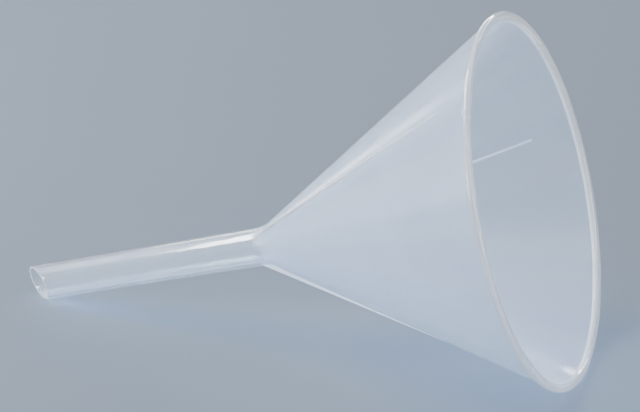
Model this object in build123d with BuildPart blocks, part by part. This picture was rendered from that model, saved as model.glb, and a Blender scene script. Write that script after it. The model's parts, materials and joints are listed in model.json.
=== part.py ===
"""A moulded laboratory funnel with a 60 degree cone and a long plain stem, lying on its side.

The funnel is one moulding. It is split here where its shape changes, and neighbouring regions meet face to
face. Row frame: +Z up, +X along the level direction from stem tip to mouth, origin under the middle of the
bounding box. Stations are measured along the funnel's own axis, from 0 at the mouth to negative values
towards the stem tip. Angles round the axis are measured from the top, turning towards -Y.
"""

import os
from math import asin, cos, hypot, radians, sin, tan

from build123d import *

# Cone
MOUTH_DIAMETER = 150.0
CONE_MOUTH_DIAMETER = 149.0
CONE_ANGLE = 60.0
CONE_WALL = 1.3

# Bead round the mouth
BEAD_WIDTH = 3.9
BEAD_HEIGHT = 2.6
BEAD_ROUNDING = 1.25
BEAD_INNER_BACK_ROUNDING = 0.35

# Nib left by the moulding gate on the bead's outer back edge
NIB_ANGLE = 40.5
NIB_STATION = -1.9
NIB_LENGTH = 1.6
NIB_DEPTH = 1.2
NIB_WIDTH = 2.0
NIB_RISE = 0.45
NIB_ROUNDING = 0.3

# Stem: a slight taper below the neck, then a straight end that is cut off at an angle
STEM_TOP_DIAMETER = 15.5
STEM_END_DIAMETER = 14.5
STEM_WALL = 0.9
STEM_LENGTH = 105.2
STEM_END_LENGTH = 31.5
BEVEL_ANGLE = 42.5
BEVEL_FACING = 90.0

# Neck: the rounded change from stem to cone
NECK_BELOW = 4.0
NECK_ABOVE = 5.0
NECK_OUTER_ROUNDING = 12.0
NECK_INNER_ROUNDING = 8.0

# Ribs: slim fins that rise from the stem just below the neck and run out on the cone
RIB_NAMES = ("rib_upper", "rib_lower", "rib_rear")
RIB_FIRST_ANGLE = 32.8
RIB_THICKNESS = 1.0
RIB_EDGE_ROUNDING = 0.3
RIB_START_BELOW_NECK = 3.1
RIB_END_STATION = -17.7
RIB_OVERRUN = 5.0
RIB_BLANK_DEPTH = 3.0

# Rounds of the search for the tilt at which the funnel lies
TILT_ROUNDS = 20

# Radii and stations that follow
half_angle = radians(CONE_ANGLE / 2)
mouth_radius = MOUTH_DIAMETER / 2
cone_mouth_radius = CONE_MOUTH_DIAMETER / 2
stem_top_radius = STEM_TOP_DIAMETER / 2
stem_end_radius = STEM_END_DIAMETER / 2
bore_top_radius = stem_top_radius - STEM_WALL
bore_end_radius = stem_end_radius - STEM_WALL
neck_station = (stem_top_radius - cone_mouth_radius) / tan(half_angle)
neck_low_station = neck_station - NECK_BELOW
neck_high_station = neck_station + NECK_ABOVE
tip_station = neck_station - STEM_LENGTH
stem_end_station = tip_station + STEM_END_LENGTH
stem_taper = (stem_top_radius - stem_end_radius) / (neck_station - stem_end_station)
bevel_reach = stem_end_radius * tan(radians(BEVEL_ANGLE))


def cone_outer(station):
    """Outer radius of the cone at a station."""
    return cone_mouth_radius + station * tan(half_angle)


def cone_inner(station):
    """Inner radius of the cone at a station."""
    return cone_outer(station) - CONE_WALL / cos(half_angle)


def stem_outer(station):
    """Outer radius of the tapered part of the stem at a station."""
    return stem_top_radius - (neck_station - station) * stem_taper


def lying_tilt():
    """Tilt of the axis at which the bead and the stem tip both touch the ground."""
    bead_radius = mouth_radius - BEAD_ROUNDING
    bead_station = BEAD_ROUNDING - BEAD_HEIGHT
    angle = 0.0
    for _ in range(TILT_ROUNDS):
        tip_drop = hypot(stem_end_radius * cos(angle), bevel_reach * sin(angle))
        bead_drop = bead_radius * cos(angle) + BEAD_ROUNDING
        angle = asin((bead_drop - tip_drop) / (bead_station - tip_station))
    return angle


# The mouth's centre lies where the part stands on Z = 0 with its box centred over the origin
tilt = lying_tilt()
bead_centre_radius = mouth_radius - BEAD_ROUNDING
mouth_height = (
    bead_centre_radius * cos(tilt) + BEAD_ROUNDING + (BEAD_HEIGHT - BEAD_ROUNDING) * sin(tilt)
)
reach_front = bead_centre_radius * sin(tilt) + BEAD_ROUNDING - BEAD_ROUNDING * cos(tilt)
reach_back = hypot(bevel_reach * cos(tilt), stem_end_radius * sin(tilt)) - tip_station * cos(tilt)
mouth_centre = Vector((reach_back - reach_front) / 2, 0, mouth_height)
axis_direction = Vector(cos(tilt), 0, sin(tilt))
funnel_axis = Axis(mouth_centre, axis_direction)

# Sections are drawn in this plane: x is the station, and y is the radius on the upper side
section_plane = Plane(origin=mouth_centre, x_dir=axis_direction, z_dir=(0, -1, 0))


def plane_at(angle):
    """The section plane turned round the funnel's axis."""
    normal = section_plane.z_dir.rotate(funnel_axis, angle)
    return Plane(origin=mouth_centre, x_dir=axis_direction, z_dir=normal)


def distance_from_axis(edge):
    """How far the middle of an edge lies from the funnel's axis."""
    return (edge.center() - mouth_centre).cross(axis_direction).length


# Section of the bead: a flattened round with a narrow flat front
with BuildSketch() as bead_section:
    with BuildLine():
        Polyline(
            (-BEAD_HEIGHT, mouth_radius - BEAD_WIDTH),
            (0, mouth_radius - BEAD_WIDTH),
            (0, mouth_radius),
            (-BEAD_HEIGHT, mouth_radius),
            close=True,
        )
    make_face()
    by_radius = bead_section.vertices().sort_by(Axis.Y)
    inner_corners = by_radius[:2].sort_by(Axis.X)
    fillet([inner_corners[1], *by_radius[2:]], BEAD_ROUNDING)
    back_inner = bead_section.vertices().sort_by_distance((-BEAD_HEIGHT, mouth_radius - BEAD_WIDTH))[0]
    fillet(back_inner, BEAD_INNER_BACK_ROUNDING)

# Section of everything inside the outer skin, from the stem past the neck to the ends of the ribs
with BuildSketch() as skin_section:
    with BuildLine():
        Polyline(
            (stem_end_station, 0),
            (stem_end_station, stem_end_radius),
            (neck_station, stem_top_radius),
            (0, cone_mouth_radius),
            (0, 0),
            close=True,
        )
    make_face()
    skin_corner = skin_section.vertices().sort_by_distance((neck_station, stem_top_radius))[0]
    fillet(skin_corner, NECK_OUTER_ROUNDING)

# Cone wall, from the neck to the back of the bead
with BuildPart() as cone_wall:
    with BuildSketch(section_plane):
        with BuildLine():
            Polyline(
                (neck_high_station, cone_inner(neck_high_station)),
                (neck_high_station, cone_outer(neck_high_station)),
                (-BEAD_HEIGHT, cone_outer(-BEAD_HEIGHT)),
                (-BEAD_HEIGHT, cone_inner(-BEAD_HEIGHT)),
                close=True,
            )
        make_face()
    revolve(axis=funnel_axis)

# Rim bead
with BuildPart() as rim_bead:
    with BuildSketch(section_plane):
        add(bead_section.sketch)
    revolve(axis=funnel_axis)

# Nib, trimmed where it meets the bead
with BuildPart() as rim_nib:
    with BuildSketch(plane_at(NIB_ANGLE)):
        with Locations((NIB_STATION, mouth_radius + NIB_RISE - NIB_DEPTH / 2)):
            RectangleRounded(NIB_LENGTH, NIB_DEPTH, NIB_ROUNDING)
    extrude(amount=NIB_WIDTH / 2, both=True)
    with BuildSketch(section_plane):
        add(bead_section.sketch)
    revolve(axis=funnel_axis, mode=Mode.SUBTRACT)

# Neck ring, with its corner rounded outside and inside
inner_corner_station = neck_station + (CONE_WALL / cos(half_angle) - STEM_WALL) / tan(half_angle)
with BuildPart() as neck:
    with BuildSketch(section_plane) as neck_section:
        with BuildLine():
            Polyline(
                (neck_low_station, stem_outer(neck_low_station) - STEM_WALL),
                (neck_low_station, stem_outer(neck_low_station)),
                (neck_station, stem_top_radius),
                (neck_high_station, cone_outer(neck_high_station)),
                (neck_high_station, cone_inner(neck_high_station)),
                (inner_corner_station, bore_top_radius),
                close=True,
            )
        make_face()
        neck_corners = neck_section.vertices()
        outer_corner = neck_corners.sort_by_distance((neck_station, stem_top_radius))[0]
        inner_corner = neck_corners.sort_by_distance((inner_corner_station, bore_top_radius))[0]
        fillet(outer_corner, NECK_OUTER_ROUNDING)
        fillet(inner_corner, NECK_INNER_ROUNDING)
    revolve(axis=funnel_axis)

# Tapered stem tube
with BuildPart() as stem_tube:
    with BuildSketch(section_plane):
        with BuildLine():
            Polyline(
                (stem_end_station, bore_end_radius),
                (stem_end_station, stem_end_radius),
                (neck_low_station, stem_outer(neck_low_station)),
                (neck_low_station, stem_outer(neck_low_station) - STEM_WALL),
                close=True,
            )
        make_face()
    revolve(axis=funnel_axis)

# Straight stem end, cut off by a plane that leaves its opening facing sideways
facing_plane = plane_at(BEVEL_FACING)
bevel = radians(BEVEL_ANGLE)
bevel_plane = Plane(
    origin=mouth_centre + axis_direction * tip_station,
    x_dir=facing_plane.z_dir,
    z_dir=facing_plane.x_dir * cos(bevel) - facing_plane.y_dir * sin(bevel),
)
with BuildPart() as stem_tip:
    with BuildSketch(Plane(origin=mouth_centre + axis_direction * stem_end_station, z_dir=-axis_direction)):
        Circle(stem_end_radius)
        Circle(bore_end_radius, mode=Mode.SUBTRACT)
    extrude(amount=STEM_END_LENGTH + 2 * bevel_reach)
    split(bisect_by=bevel_plane, keep=Keep.TOP)

# Ribs: each is a slab with a rounded outer edge, trimmed where it meets the neck and the cone
rib_start = Vector(neck_station - RIB_START_BELOW_NECK, stem_outer(neck_station - RIB_START_BELOW_NECK))
rib_end = Vector(RIB_END_STATION, cone_outer(RIB_END_STATION))
ridge_direction = (rib_end - rib_start).normalized()
ridge_low = rib_start - ridge_direction * RIB_OVERRUN
ridge_high = rib_end + ridge_direction * RIB_OVERRUN
blank_drop = Vector(0, -RIB_BLANK_DEPTH)

ribs = []
for index, rib_name in enumerate(RIB_NAMES):
    rib_plane = plane_at(RIB_FIRST_ANGLE + index * 360 / len(RIB_NAMES))
    with BuildPart() as rib:
        with BuildSketch(rib_plane):
            with BuildLine():
                Polyline(ridge_low, ridge_high, ridge_high + blank_drop, ridge_low + blank_drop, close=True)
            make_face()
        extrude(amount=RIB_THICKNESS / 2, both=True)
        ridge_axis = Axis(mouth_centre, rib_plane.from_local_coords(ridge_direction) - mouth_centre)
        outer_edges = rib.edges().filter_by(ridge_axis).sort_by(distance_from_axis)[-2:]
        fillet(outer_edges, RIB_EDGE_ROUNDING)
        with BuildSketch(section_plane):
            add(skin_section.sketch)
        revolve(axis=funnel_axis, mode=Mode.SUBTRACT)
    rib.part.label = rib_name
    ribs.append(rib.part)

cone_wall.part.label = "cone_wall"
rim_bead.part.label = "rim_bead"
rim_nib.part.label = "rim_nib"
neck.part.label = "neck"
stem_tube.part.label = "stem_tube"
stem_tip.part.label = "stem_tip"

os.makedirs("parts", exist_ok=True)
export_step(cone_wall.part, "parts/cone_wall.step")
export_step(rim_bead.part, "parts/rim_bead.step")
export_step(rim_nib.part, "parts/rim_nib.step")
export_step(neck.part, "parts/neck.step")
export_step(stem_tube.part, "parts/stem_tube.step")
export_step(stem_tip.part, "parts/stem_tip.step")
for rib_part in ribs:
    export_step(rib_part, f"parts/{rib_part.label}.step")
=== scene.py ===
"""Looks of the moulded laboratory funnel: fine meshes, translucent plastic, floor, light and camera.

Stations run along the funnel's axis, from 0 at the mouth to negative values towards the stem tip.
Angles round the axis are measured from the top, turning towards -Y. Lengths are in metres.
"""

import json
from math import atan2, cos, pi, radians, sin, sqrt, tan

import bpy
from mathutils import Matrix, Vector


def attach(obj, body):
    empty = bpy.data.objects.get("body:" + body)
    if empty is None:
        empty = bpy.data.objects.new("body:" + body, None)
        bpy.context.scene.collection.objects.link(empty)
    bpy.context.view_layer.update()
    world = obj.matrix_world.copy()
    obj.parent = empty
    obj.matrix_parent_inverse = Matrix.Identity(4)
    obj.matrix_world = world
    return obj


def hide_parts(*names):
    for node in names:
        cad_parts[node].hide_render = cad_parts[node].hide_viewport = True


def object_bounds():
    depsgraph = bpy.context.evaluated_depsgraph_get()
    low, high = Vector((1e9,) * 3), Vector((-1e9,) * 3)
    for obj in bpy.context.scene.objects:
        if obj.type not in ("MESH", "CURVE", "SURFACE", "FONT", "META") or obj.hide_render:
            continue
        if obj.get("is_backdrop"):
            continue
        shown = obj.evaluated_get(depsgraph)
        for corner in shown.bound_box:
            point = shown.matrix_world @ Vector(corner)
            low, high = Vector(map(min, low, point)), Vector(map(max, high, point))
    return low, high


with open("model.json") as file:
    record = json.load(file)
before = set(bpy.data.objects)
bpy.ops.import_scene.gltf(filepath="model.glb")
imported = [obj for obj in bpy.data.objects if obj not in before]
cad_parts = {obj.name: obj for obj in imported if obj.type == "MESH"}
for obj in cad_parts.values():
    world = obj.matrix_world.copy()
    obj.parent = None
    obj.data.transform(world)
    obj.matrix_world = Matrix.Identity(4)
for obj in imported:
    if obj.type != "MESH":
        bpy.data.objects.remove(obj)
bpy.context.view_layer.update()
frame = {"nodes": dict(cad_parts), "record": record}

MM = 0.001

# Shape, as in the CAD model
MOUTH_RADIUS = 75.0 * MM
CONE_MOUTH_RADIUS = 74.5 * MM
HALF_ANGLE = radians(30)
CONE_WALL = 1.3 * MM
BEAD_WIDTH = 3.9 * MM
BEAD_HEIGHT = 2.6 * MM
BEAD_ROUNDING = 1.25 * MM
BEAD_INNER_BACK_ROUNDING = 0.35 * MM
STEM_TOP_RADIUS = 7.75 * MM
STEM_END_RADIUS = 7.25 * MM
STEM_WALL = 0.9 * MM
STEM_LENGTH = 105.2 * MM
STEM_END_LENGTH = 31.5 * MM
BEVEL = radians(42.5)
BEVEL_FACING = radians(90)
CUT_EDGE_ROUNDING = 0.12 * MM
CUT_REACH = 1.5 * CUT_EDGE_ROUNDING
NECK_BELOW = 4.0 * MM
NECK_ABOVE = 5.0 * MM
NECK_OUTER_ROUNDING = 12.0 * MM
NECK_INNER_ROUNDING = 8.0 * MM
RIB_FIRST_ANGLE = radians(32.8)
RIB_THICKNESS = 1.0 * MM
RIB_EDGE_ROUNDING = 0.3 * MM
RIB_START_BELOW_NECK = 3.1 * MM
RIB_END_STATION = -17.7 * MM
RIB_SUNK = 0.12 * MM

# Fineness of the meshes
SEGMENTS = 360
ARC_STEPS = 10
NECK_ARC_STEPS = 24
CONE_STEPS = 48
STEM_STEPS = 24
TIP_STEPS = 16
CUT_EDGE_STEPS = 3
RIB_STEPS = 160
RIB_EDGE_STEPS = 5
SHARP_ANGLE = radians(40)

# Places of the materials in the list of a piece
BODY, SEAM, CUT = 0, 1, 2

neck_station = (STEM_TOP_RADIUS - CONE_MOUTH_RADIUS) / tan(HALF_ANGLE)
neck_low = neck_station - NECK_BELOW
neck_high = neck_station + NECK_ABOVE
tip_station = neck_station - STEM_LENGTH
stem_end = tip_station + STEM_END_LENGTH
stem_taper = (STEM_TOP_RADIUS - STEM_END_RADIUS) / (neck_station - stem_end)

mounts = {mount["name"]: mount for mount in frame["record"]["mounts"]}
axis = Vector(mounts["rim_face"]["axis"])
near = Vector((0, -1, 0))
upper = near.cross(axis)
mouth = Vector(mounts["rim_face"]["pos_m"])
mouth.y = 0.0


def cone_outer(station):
    """Outer radius of the cone at a station."""
    return CONE_MOUTH_RADIUS + station * tan(HALF_ANGLE)


def cone_inner(station):
    """Inner radius of the cone at a station."""
    return cone_outer(station) - CONE_WALL / cos(HALF_ANGLE)


def stem_outer(station):
    """Outer radius of the tapered part of the stem at a station."""
    return STEM_TOP_RADIUS - (neck_station - station) * stem_taper


def place(station, radius, angle):
    """The point at a station, a radius and an angle round the funnel's axis."""
    return mouth + axis * station + (upper * cos(angle) + near * sin(angle)) * radius


def straight(start, end, steps):
    """Points of a profile's straight run, both ends included."""
    return [
        tuple(a + (b - a) * step / steps for a, b in zip(start, end)) for step in range(steps + 1)
    ]


def rounded(before, corner, after, radius, steps):
    """Points of the arc that rounds off a profile's corner."""
    at = Vector(corner)
    towards_before = (Vector(before) - at).normalized()
    towards_after = (Vector(after) - at).normalized()
    half = towards_before.angle(towards_after) / 2
    centre = at + (towards_before + towards_after).normalized() * radius / sin(half)
    first = at + towards_before * radius / tan(half) - centre
    last = at + towards_after * radius / tan(half) - centre
    turn = atan2(first.x * last.y - first.y * last.x, first.dot(last))
    return [
        (
            centre.x + first.x * cos(turn * step / steps) - first.y * sin(turn * step / steps),
            centre.y + first.x * sin(turn * step / steps) + first.y * cos(turn * step / steps),
        )
        for step in range(steps + 1)
    ]


def finished(name, points, faces, materials, face_slots, nodes):
    """A named piece that rides on the frame and stands for CAD nodes."""
    mesh = bpy.data.meshes.new(name)
    mesh.from_pydata(points, [], faces)
    for material in materials:
        mesh.materials.append(material)
    mesh.polygons.foreach_set("material_index", face_slots)
    mesh.polygons.foreach_set("use_smooth", [True] * len(faces))
    mesh.set_sharp_from_angle(angle=SHARP_ANGLE)
    mesh.validate()
    piece = bpy.data.objects.new(name, mesh)
    bpy.context.scene.collection.objects.link(piece)
    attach(piece, "root")
    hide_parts(*nodes)
    return piece


def turned(name, profile, special, materials, node, shift=None):
    """A ring-shaped piece made by turning a closed profile round the axis.

    special gives the material of each run of the profile that isn't the body's. shift gives how far a point
    is moved along the axis, from its station, radius and angle.
    """
    points = []
    for turn in range(SEGMENTS):
        angle = 2 * pi * turn / SEGMENTS
        for station, radius in profile:
            moved = station + (shift(station, radius, angle) if shift else 0.0)
            points.append(place(moved, radius, angle))
    count = len(profile)
    faces, face_slots = [], []
    for turn in range(SEGMENTS):
        here, there = turn * count, (turn + 1) % SEGMENTS * count
        for run in range(count):
            after = (run + 1) % count
            faces.append((here + run, here + after, there + after, there + run))
            face_slots.append(special.get(run, BODY))
    return finished(name, points, faces, materials, face_slots, [node])


# Materials

IOR = 1.49
LIT_THROUGH = (0.80, 0.84, 0.90, 1)
COAT_ROUGHNESS = 0.04
FLOW_SCALE, FLOW_DETAIL = 14, 3
FLOW_RANGE = 0.35, 0.65
CLOUD_SCALE, CLOUD_DETAIL, CLOUD_ROUGHNESS = 45, 6, 0.6
CLOUD_RANGE = 0.3, 0.7
SKIN_SCALE, SKIN_DETAIL = 600, 2
SKIN_DEPTH = 0.1 * MM
GLOSS_SPREAD = 0.25


def new_material(name):
    """An empty node material and its tree."""
    material = bpy.data.materials.new(name)
    material.use_nodes = True
    material.node_tree.nodes.clear()
    return material, material.node_tree


def add(tree, kind, values=(), links=()):
    """A node with some of its inputs set and some linked."""
    node = tree.nodes.new(kind)
    for socket, value in values:
        node.inputs[socket].default_value = value
    for socket, source in links:
        tree.links.new(source, node.inputs[socket])
    return node


def noise(tree, coordinates, scale, detail, roughness=0.5):
    """A noise pattern from 0 to 1 in object space."""
    values = (("Scale", scale), ("Detail", detail), ("Roughness", roughness))
    return add(tree, "ShaderNodeTexNoise", values, (("Vector", coordinates),)).outputs["Fac"]


def ranged(tree, source, low, high, first, last):
    """source, with its stretch from low to high spread over first to last."""
    values = (("From Min", low), ("From Max", high), ("To Min", first), ("To Max", last))
    return add(tree, "ShaderNodeMapRange", values, (("Value", source),)).outputs[0]


def blended(tree, factor, first, second):
    """Two colours mixed by a pattern."""
    node = tree.nodes.new("ShaderNodeMix")
    node.data_type = "RGBA"
    node.inputs["A"].default_value = first
    node.inputs["B"].default_value = second
    tree.links.new(factor, node.inputs["Factor"])
    return node.outputs["Result"]


def flow_lines(tree, coordinates):
    """A pattern of soft streaks that fan out from the cone's apex, as the plastic ran in the mould."""
    apex = mouth - axis * CONE_MOUTH_RADIUS / tan(HALF_ANGLE)
    away = add(tree, "ShaderNodeVectorMath", ((1, apex),), ((0, coordinates),))
    away.operation = "SUBTRACT"
    heading = add(tree, "ShaderNodeVectorMath", (), ((0, away.outputs[0]),))
    heading.operation = "NORMALIZE"
    return noise(tree, heading.outputs[0], FLOW_SCALE, FLOW_DETAIL)


def plastic(name, clear, dull, transmission, roughness, coat, grain):
    """Translucent moulded plastic that lamps shine through.

    Faint flow lines run between the clear and the dull colour. The gloss is uneven. grain is the strength of
    the fine moulded skin.
    """
    material, tree = new_material(name)
    coordinates = add(tree, "ShaderNodeTexCoord").outputs["Object"]
    flow = ranged(tree, flow_lines(tree, coordinates), *FLOW_RANGE, 0.0, 1.0)
    colour = blended(tree, flow, clear, dull)
    clouds = noise(tree, coordinates, CLOUD_SCALE, CLOUD_DETAIL, CLOUD_ROUGHNESS)
    glossy, matt = roughness * (1 - GLOSS_SPREAD), roughness * (1 + GLOSS_SPREAD)
    gloss = ranged(tree, clouds, *CLOUD_RANGE, glossy, matt)
    skin = noise(tree, coordinates, SKIN_SCALE, SKIN_DETAIL)
    depth = (("Strength", grain), ("Distance", SKIN_DEPTH))
    bump = add(tree, "ShaderNodeBump", depth, (("Height", skin),))
    values = (
        ("Transmission Weight", transmission),
        ("IOR", IOR),
        ("Coat Weight", coat),
        ("Coat Roughness", COAT_ROUGHNESS),
    )
    links = (("Base Color", colour), ("Roughness", gloss), ("Normal", bump.outputs[0]))
    body = add(tree, "ShaderNodeBsdfPrincipled", values, links)
    lit_through = add(tree, "ShaderNodeBsdfTransparent", (("Color", LIT_THROUGH),))
    ray = add(tree, "ShaderNodeLightPath")
    sides = ((0, ray.outputs["Is Shadow Ray"]), (1, body.outputs[0]), (2, lit_through.outputs[0]))
    mixed = add(tree, "ShaderNodeMixShader", (), sides)
    add(tree, "ShaderNodeOutputMaterial", (), (("Surface", mixed.outputs[0]),))
    return material


def seam_material():
    """The inside faces where one region of the moulding goes on into the next: nothing shows there."""
    material, tree = new_material("inside_seam")
    body = add(tree, "ShaderNodeBsdfPrincipled", (("Alpha", 0.0),))
    add(tree, "ShaderNodeOutputMaterial", (), (("Surface", body.outputs[0]),))
    return material


seam = seam_material()
cone_plastic = plastic(
    name="cone_plastic",
    clear=(0.82, 0.90, 1.0, 1),
    dull=(0.76, 0.85, 0.98, 1),
    transmission=0.78,
    roughness=0.2,
    coat=0.0,
    grain=0.08,
)
rib_plastic = plastic(
    name="rib_plastic",
    clear=(0.97, 0.98, 1.0, 1),
    dull=(0.94, 0.96, 1.0, 1),
    transmission=0.42,
    roughness=0.06,
    coat=1.0,
    grain=0.04,
)
rim_plastic = plastic(
    name="rim_plastic",
    clear=(0.98, 0.99, 1.0, 1),
    dull=(0.95, 0.97, 1.0, 1),
    transmission=0.7,
    roughness=0.04,
    coat=1.0,
    grain=0.03,
)
stem_plastic = plastic(
    name="stem_plastic",
    clear=(0.88, 0.94, 1.0, 1),
    dull=(0.84, 0.91, 0.98, 1),
    transmission=0.88,
    roughness=0.11,
    coat=0.2,
    grain=0.04,
)
cut_plastic = plastic(
    name="cut_plastic",
    clear=(0.98, 0.99, 1.0, 1),
    dull=(0.94, 0.96, 1.0, 1),
    transmission=0.3,
    roughness=0.25,
    coat=0.0,
    grain=0.2,
)


# Pieces


def cone_wall():
    """The thin conical wall between the neck and the bead."""
    low, high = neck_high, -BEAD_HEIGHT
    inner = straight((low, cone_inner(low)), (high, cone_inner(high)), CONE_STEPS)
    outer = straight((high, cone_outer(high)), (low, cone_outer(low)), CONE_STEPS)
    seams = {len(inner) - 1: SEAM, len(inner) + len(outer) - 1: SEAM}
    turned("funnel_cone", inner + outer, seams, [cone_plastic, seam], "cone_wall")


def rim_bead():
    """The bead round the mouth. Part of its back is where the cone's wall runs into it."""
    back, front = -BEAD_HEIGHT, 0.0
    inside, outside = MOUTH_RADIUS - BEAD_WIDTH, MOUTH_RADIUS
    corners = [(back, inside), (front, inside), (front, outside), (back, outside)]
    roundings = [BEAD_INNER_BACK_ROUNDING, BEAD_ROUNDING, BEAD_ROUNDING, BEAD_ROUNDING]
    profile = []
    for index, (corner, rounding) in enumerate(zip(corners, roundings)):
        before, after = corners[index - 1], corners[(index + 1) % len(corners)]
        profile += rounded(before, corner, after, rounding, ARC_STEPS)
    profile += [(back, cone_outer(back)), (back, cone_inner(back))]
    seams = {len(profile) - 2: SEAM}
    turned("funnel_rim", profile, seams, [rim_plastic, seam], "rim_bead")


def neck():
    """The thicker ring where the stem opens into the cone."""
    inner_corner = (
        neck_station + (CONE_WALL / cos(HALF_ANGLE) - STEM_WALL) / tan(HALF_ANGLE),
        STEM_TOP_RADIUS - STEM_WALL,
    )
    outer_corner = (neck_station, STEM_TOP_RADIUS)
    inner_low = (neck_low, stem_outer(neck_low) - STEM_WALL)
    inner_high = (neck_high, cone_inner(neck_high))
    outer_low = (neck_low, stem_outer(neck_low))
    outer_high = (neck_high, cone_outer(neck_high))
    inner = rounded(inner_low, inner_corner, inner_high, NECK_INNER_ROUNDING, NECK_ARC_STEPS)
    inner = [inner_low, *inner, inner_high]
    outer = rounded(outer_high, outer_corner, outer_low, NECK_OUTER_ROUNDING, NECK_ARC_STEPS)
    outer = [outer_high, *outer, outer_low]
    seams = {len(inner) - 1: SEAM, len(inner) + len(outer) - 1: SEAM}
    turned("funnel_neck", inner + outer, seams, [cone_plastic, seam], "neck")


def stem_tube():
    """The long tapered tube."""
    top = stem_outer(neck_low)
    bore_end, bore_top = STEM_END_RADIUS - STEM_WALL, top - STEM_WALL
    inner = straight((stem_end, bore_end), (neck_low, bore_top), STEM_STEPS)
    outer = straight((neck_low, top), (stem_end, STEM_END_RADIUS), STEM_STEPS)
    seams = {len(inner) - 1: SEAM, len(inner) + len(outer) - 1: SEAM}
    turned("funnel_stem", inner + outer, seams, [stem_plastic, seam], "stem_tube")


def bevel_shift(station, radius, angle):
    """How far a point of the stem's end moves so that its last edge lies in the slanting cut."""
    share = (stem_end - station) / STEM_END_LENGTH
    return share * radius * tan(BEVEL) * cos(angle - BEVEL_FACING)


def stem_tip():
    """The straight end of the stem, cut off at an angle, with its two cut edges just broken."""
    bore, outside = STEM_END_RADIUS - STEM_WALL, STEM_END_RADIUS
    start, end = stem_end, tip_station
    bore_edge = rounded((start, bore), (end, bore), (end, outside), CUT_EDGE_ROUNDING, CUT_EDGE_STEPS)
    outer_edge = rounded((end, bore), (end, outside), (start, outside), CUT_EDGE_ROUNDING, CUT_EDGE_STEPS)
    outer = straight(outer_edge[-1], (start, outside), TIP_STEPS)[1:]
    inner = straight((start, bore), bore_edge[0], TIP_STEPS)[:-1]
    profile = outer_edge + outer + inner + bore_edge
    profile.reverse()
    special = {len(bore_edge) + len(inner) - 1: SEAM}
    for run, (station, _) in enumerate(profile):
        next_station = profile[(run + 1) % len(profile)][0]
        if max(station, next_station) < end + CUT_REACH:
            special[run] = CUT
    materials = [stem_plastic, seam, cut_plastic]
    turned("funnel_stem_tip", profile, special, materials, "stem_tip", bevel_shift)


def skin_radius(station):
    """Outer radius of the stem, the neck's rounding or the cone, whichever is at this station."""
    corner = (neck_station, STEM_TOP_RADIUS)
    low = (neck_low, stem_outer(neck_low))
    high = (neck_high, cone_outer(neck_high))
    arc = rounded(low, corner, high, NECK_OUTER_ROUNDING, NECK_ARC_STEPS)
    for (s0, r0), (s1, r1) in zip(arc, arc[1:]):
        if s0 < station <= s1:
            return r0 + (r1 - r0) * (station - s0) / (s1 - s0)
    return stem_outer(station) if station <= arc[0][0] else cone_outer(station)


def rib(name, angle):
    """One slim fin: a straight ridge with rounded edges, from the top of the stem out along the cone."""
    start = neck_station - RIB_START_BELOW_NECK
    start_radius, end_radius = stem_outer(start), cone_outer(RIB_END_STATION)
    flat = RIB_THICKNESS / 2 - RIB_EDGE_ROUNDING
    offsets = [-flat, flat]
    for step in range(1, RIB_EDGE_STEPS + 1):
        across = flat + RIB_EDGE_ROUNDING * sin(pi / 2 * step / RIB_EDGE_STEPS)
        offsets = [-across, *offsets, across]
    sideways = upper * -sin(angle) + near * cos(angle)
    outwards = upper * cos(angle) + near * sin(angle)
    points = []
    for step in range(RIB_STEPS + 1):
        share = step / RIB_STEPS
        station = start + (RIB_END_STATION - start) * share
        ridge = start_radius + (end_radius - start_radius) * share
        skin = skin_radius(station)
        for across in offsets:
            past = max(0.0, abs(across) - flat)
            drop = RIB_EDGE_ROUNDING - sqrt(max(0.0, RIB_EDGE_ROUNDING**2 - past**2))
            base = sqrt(skin**2 - across**2)
            top = max(ridge - drop, base - RIB_SUNK / 2)
            points.append(mouth + axis * station + sideways * across + outwards * top)
        for across in reversed(offsets):
            base = sqrt(skin**2 - across**2) - RIB_SUNK
            points.append(mouth + axis * station + sideways * across + outwards * base)
    count = 2 * len(offsets)
    faces, face_slots = [], []
    for step in range(RIB_STEPS):
        here, there = step * count, (step + 1) * count
        for run in range(count):
            after = (run + 1) % count
            faces.append((here + run, here + after, there + after, there + run))
            face_slots.append(SEAM if run >= len(offsets) else BODY)
    faces.append(tuple(reversed(range(count))))
    faces.append(tuple(RIB_STEPS * count + run for run in range(count)))
    face_slots += [SEAM, SEAM]
    materials = [rib_plastic, seam]
    finished(f"funnel_{name}", points, faces, materials, face_slots, [name])


cone_wall()
rim_bead()
neck()
stem_tube()
stem_tip()
for number, rib_name in enumerate(("rib_upper", "rib_lower", "rib_rear")):
    rib(rib_name, RIB_FIRST_ANGLE + number * 2 * pi / 3)

# The nib shows as the CAD model made it
nib = frame["nodes"]["rim_nib"]
nib.data.materials.clear()
nib.data.materials.append(rim_plastic)


# Floor, light and camera

AZIMUTH = radians(17.0)
ELEVATION = radians(24.15)
LENS = 167.9
NEAREST, FARTHEST = 0.01, 20
MOUTH_RIGHT_OF_VIEW = 84.8 * MM
MOUTH_ABOVE_VIEW = 1.97 * MM
MOUTH_DISTANCE = 1158.7 * MM

FLOOR_REACH = 3.0
FLOOR_COLOURS = (0.14, 0.18, 0.235, 1), (0.155, 0.195, 0.25, 1)
FLOOR_ROUGHNESS = 0.75
FLOOR_PATCH_SCALE, FLOOR_PATCH_DETAIL = 3, 3
FLOOR_GRAIN_SCALE, FLOOR_GRAIN_DETAIL = 700, 2
FLOOR_GRAIN_DEPTH = 0.2 * MM
FLOOR_GRAIN_STRENGTH = 0.1

SKY_COLOUR = (0.75, 0.82, 0.92, 1)
SKY_STRENGTH = 0.15

view_right = Vector((cos(AZIMUTH), sin(AZIMUTH), 0))
view_back = Vector(
    (sin(AZIMUTH) * cos(ELEVATION), -cos(AZIMUTH) * cos(ELEVATION), sin(ELEVATION))
)
view_up = view_back.cross(view_right)


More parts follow.
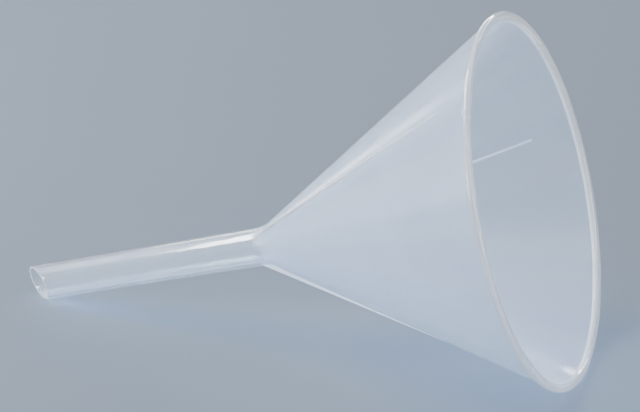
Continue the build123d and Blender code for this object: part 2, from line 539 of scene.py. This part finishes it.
def floor():
    """A plain, faintly uneven flat floor under the funnel."""
    material, tree = new_material("floor")
    coordinates = add(tree, "ShaderNodeTexCoord").outputs["Object"]
    patches = noise(tree, coordinates, FLOOR_PATCH_SCALE, FLOOR_PATCH_DETAIL)
    colour = blended(tree, patches, *FLOOR_COLOURS)
    grain = noise(tree, coordinates, FLOOR_GRAIN_SCALE, FLOOR_GRAIN_DETAIL)
    depth = (("Strength", FLOOR_GRAIN_STRENGTH), ("Distance", FLOOR_GRAIN_DEPTH))
    bump = add(tree, "ShaderNodeBump", depth, (("Height", grain),))
    values = (("Roughness", FLOOR_ROUGHNESS),)
    links = (("Base Color", colour), ("Normal", bump.outputs[0]))
    body = add(tree, "ShaderNodeBsdfPrincipled", values, links)
    add(tree, "ShaderNodeOutputMaterial", (), (("Surface", body.outputs[0]),))
    signs = ((-1, -1), (1, -1), (1, 1), (-1, 1))
    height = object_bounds()[0].z
    corners = [(x * FLOOR_REACH, y * FLOOR_REACH, height) for x, y in signs]
    mesh = bpy.data.meshes.new("floor")
    mesh.from_pydata(corners, [], [(0, 1, 2, 3)])
    mesh.materials.append(material)
    ground = bpy.data.objects.new("floor", mesh)
    bpy.context.scene.collection.objects.link(ground)
    ground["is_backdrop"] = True


def softbox(name, location, target, width, height, power):
    """A rectangular area light that faces a target."""
    light = bpy.data.lights.new(name, "AREA")
    light.shape = "RECTANGLE"
    light.size = width
    light.size_y = height
    light.energy = power
    lamp = bpy.data.objects.new(name, light)
    lamp.location = location
    lamp.rotation_euler = (target - location).to_track_quat("-Z", "Y").to_euler()
    bpy.context.scene.collection.objects.link(lamp)


def lights():
    """Soft studio light under a dim sky.

    A wide box above the stem, a box at the left, a strip at the right, a long box behind the mouth and a
    small one low behind the stem.
    """
    stem_top = mouth + axis * neck_station
    above = stem_top + Vector((-0.69, 0.065, 0.83))
    left = stem_top + Vector((-1.1, -0.7, 0.35))
    right = mouth + Vector((1.09, -0.29, 0.65))
    behind = mouth + Vector((-0.1, 1.3, 0.4))
    low = stem_top + Vector((-1.0, 0.7, 0.13))
    softbox("key", above, stem_top, width=0.7, height=0.13, power=20)
    softbox("left", left, mouth, width=0.3, height=0.5, power=12)
    softbox("right", right, mouth, width=0.2, height=1.2, power=15)
    softbox("back", behind, mouth, width=1.8, height=0.1, power=11)
    softbox("low", low, mouth, width=0.1, height=0.2, power=0.8)
    world = bpy.data.worlds.new("studio")
    world.use_nodes = True
    background = world.node_tree.nodes["Background"]
    background.inputs["Color"].default_value = SKY_COLOUR
    background.inputs["Strength"].default_value = SKY_STRENGTH
    bpy.context.scene.world = world


def camera():
    """The view of the funnel from the side of its mouth."""
    data = bpy.data.cameras.new("camera")
    data.lens = LENS
    data.clip_start, data.clip_end = NEAREST, FARTHEST
    eye = bpy.data.objects.new("camera", data)
    centre = mouth - view_right * MOUTH_RIGHT_OF_VIEW - view_up * MOUTH_ABOVE_VIEW
    eye.location = centre + view_back * MOUTH_DISTANCE
    eye.rotation_euler = view_back.to_track_quat("Z", "Y").to_euler()
    bpy.context.scene.collection.objects.link(eye)
    bpy.context.scene.camera = eye


floor()
lights()
camera()
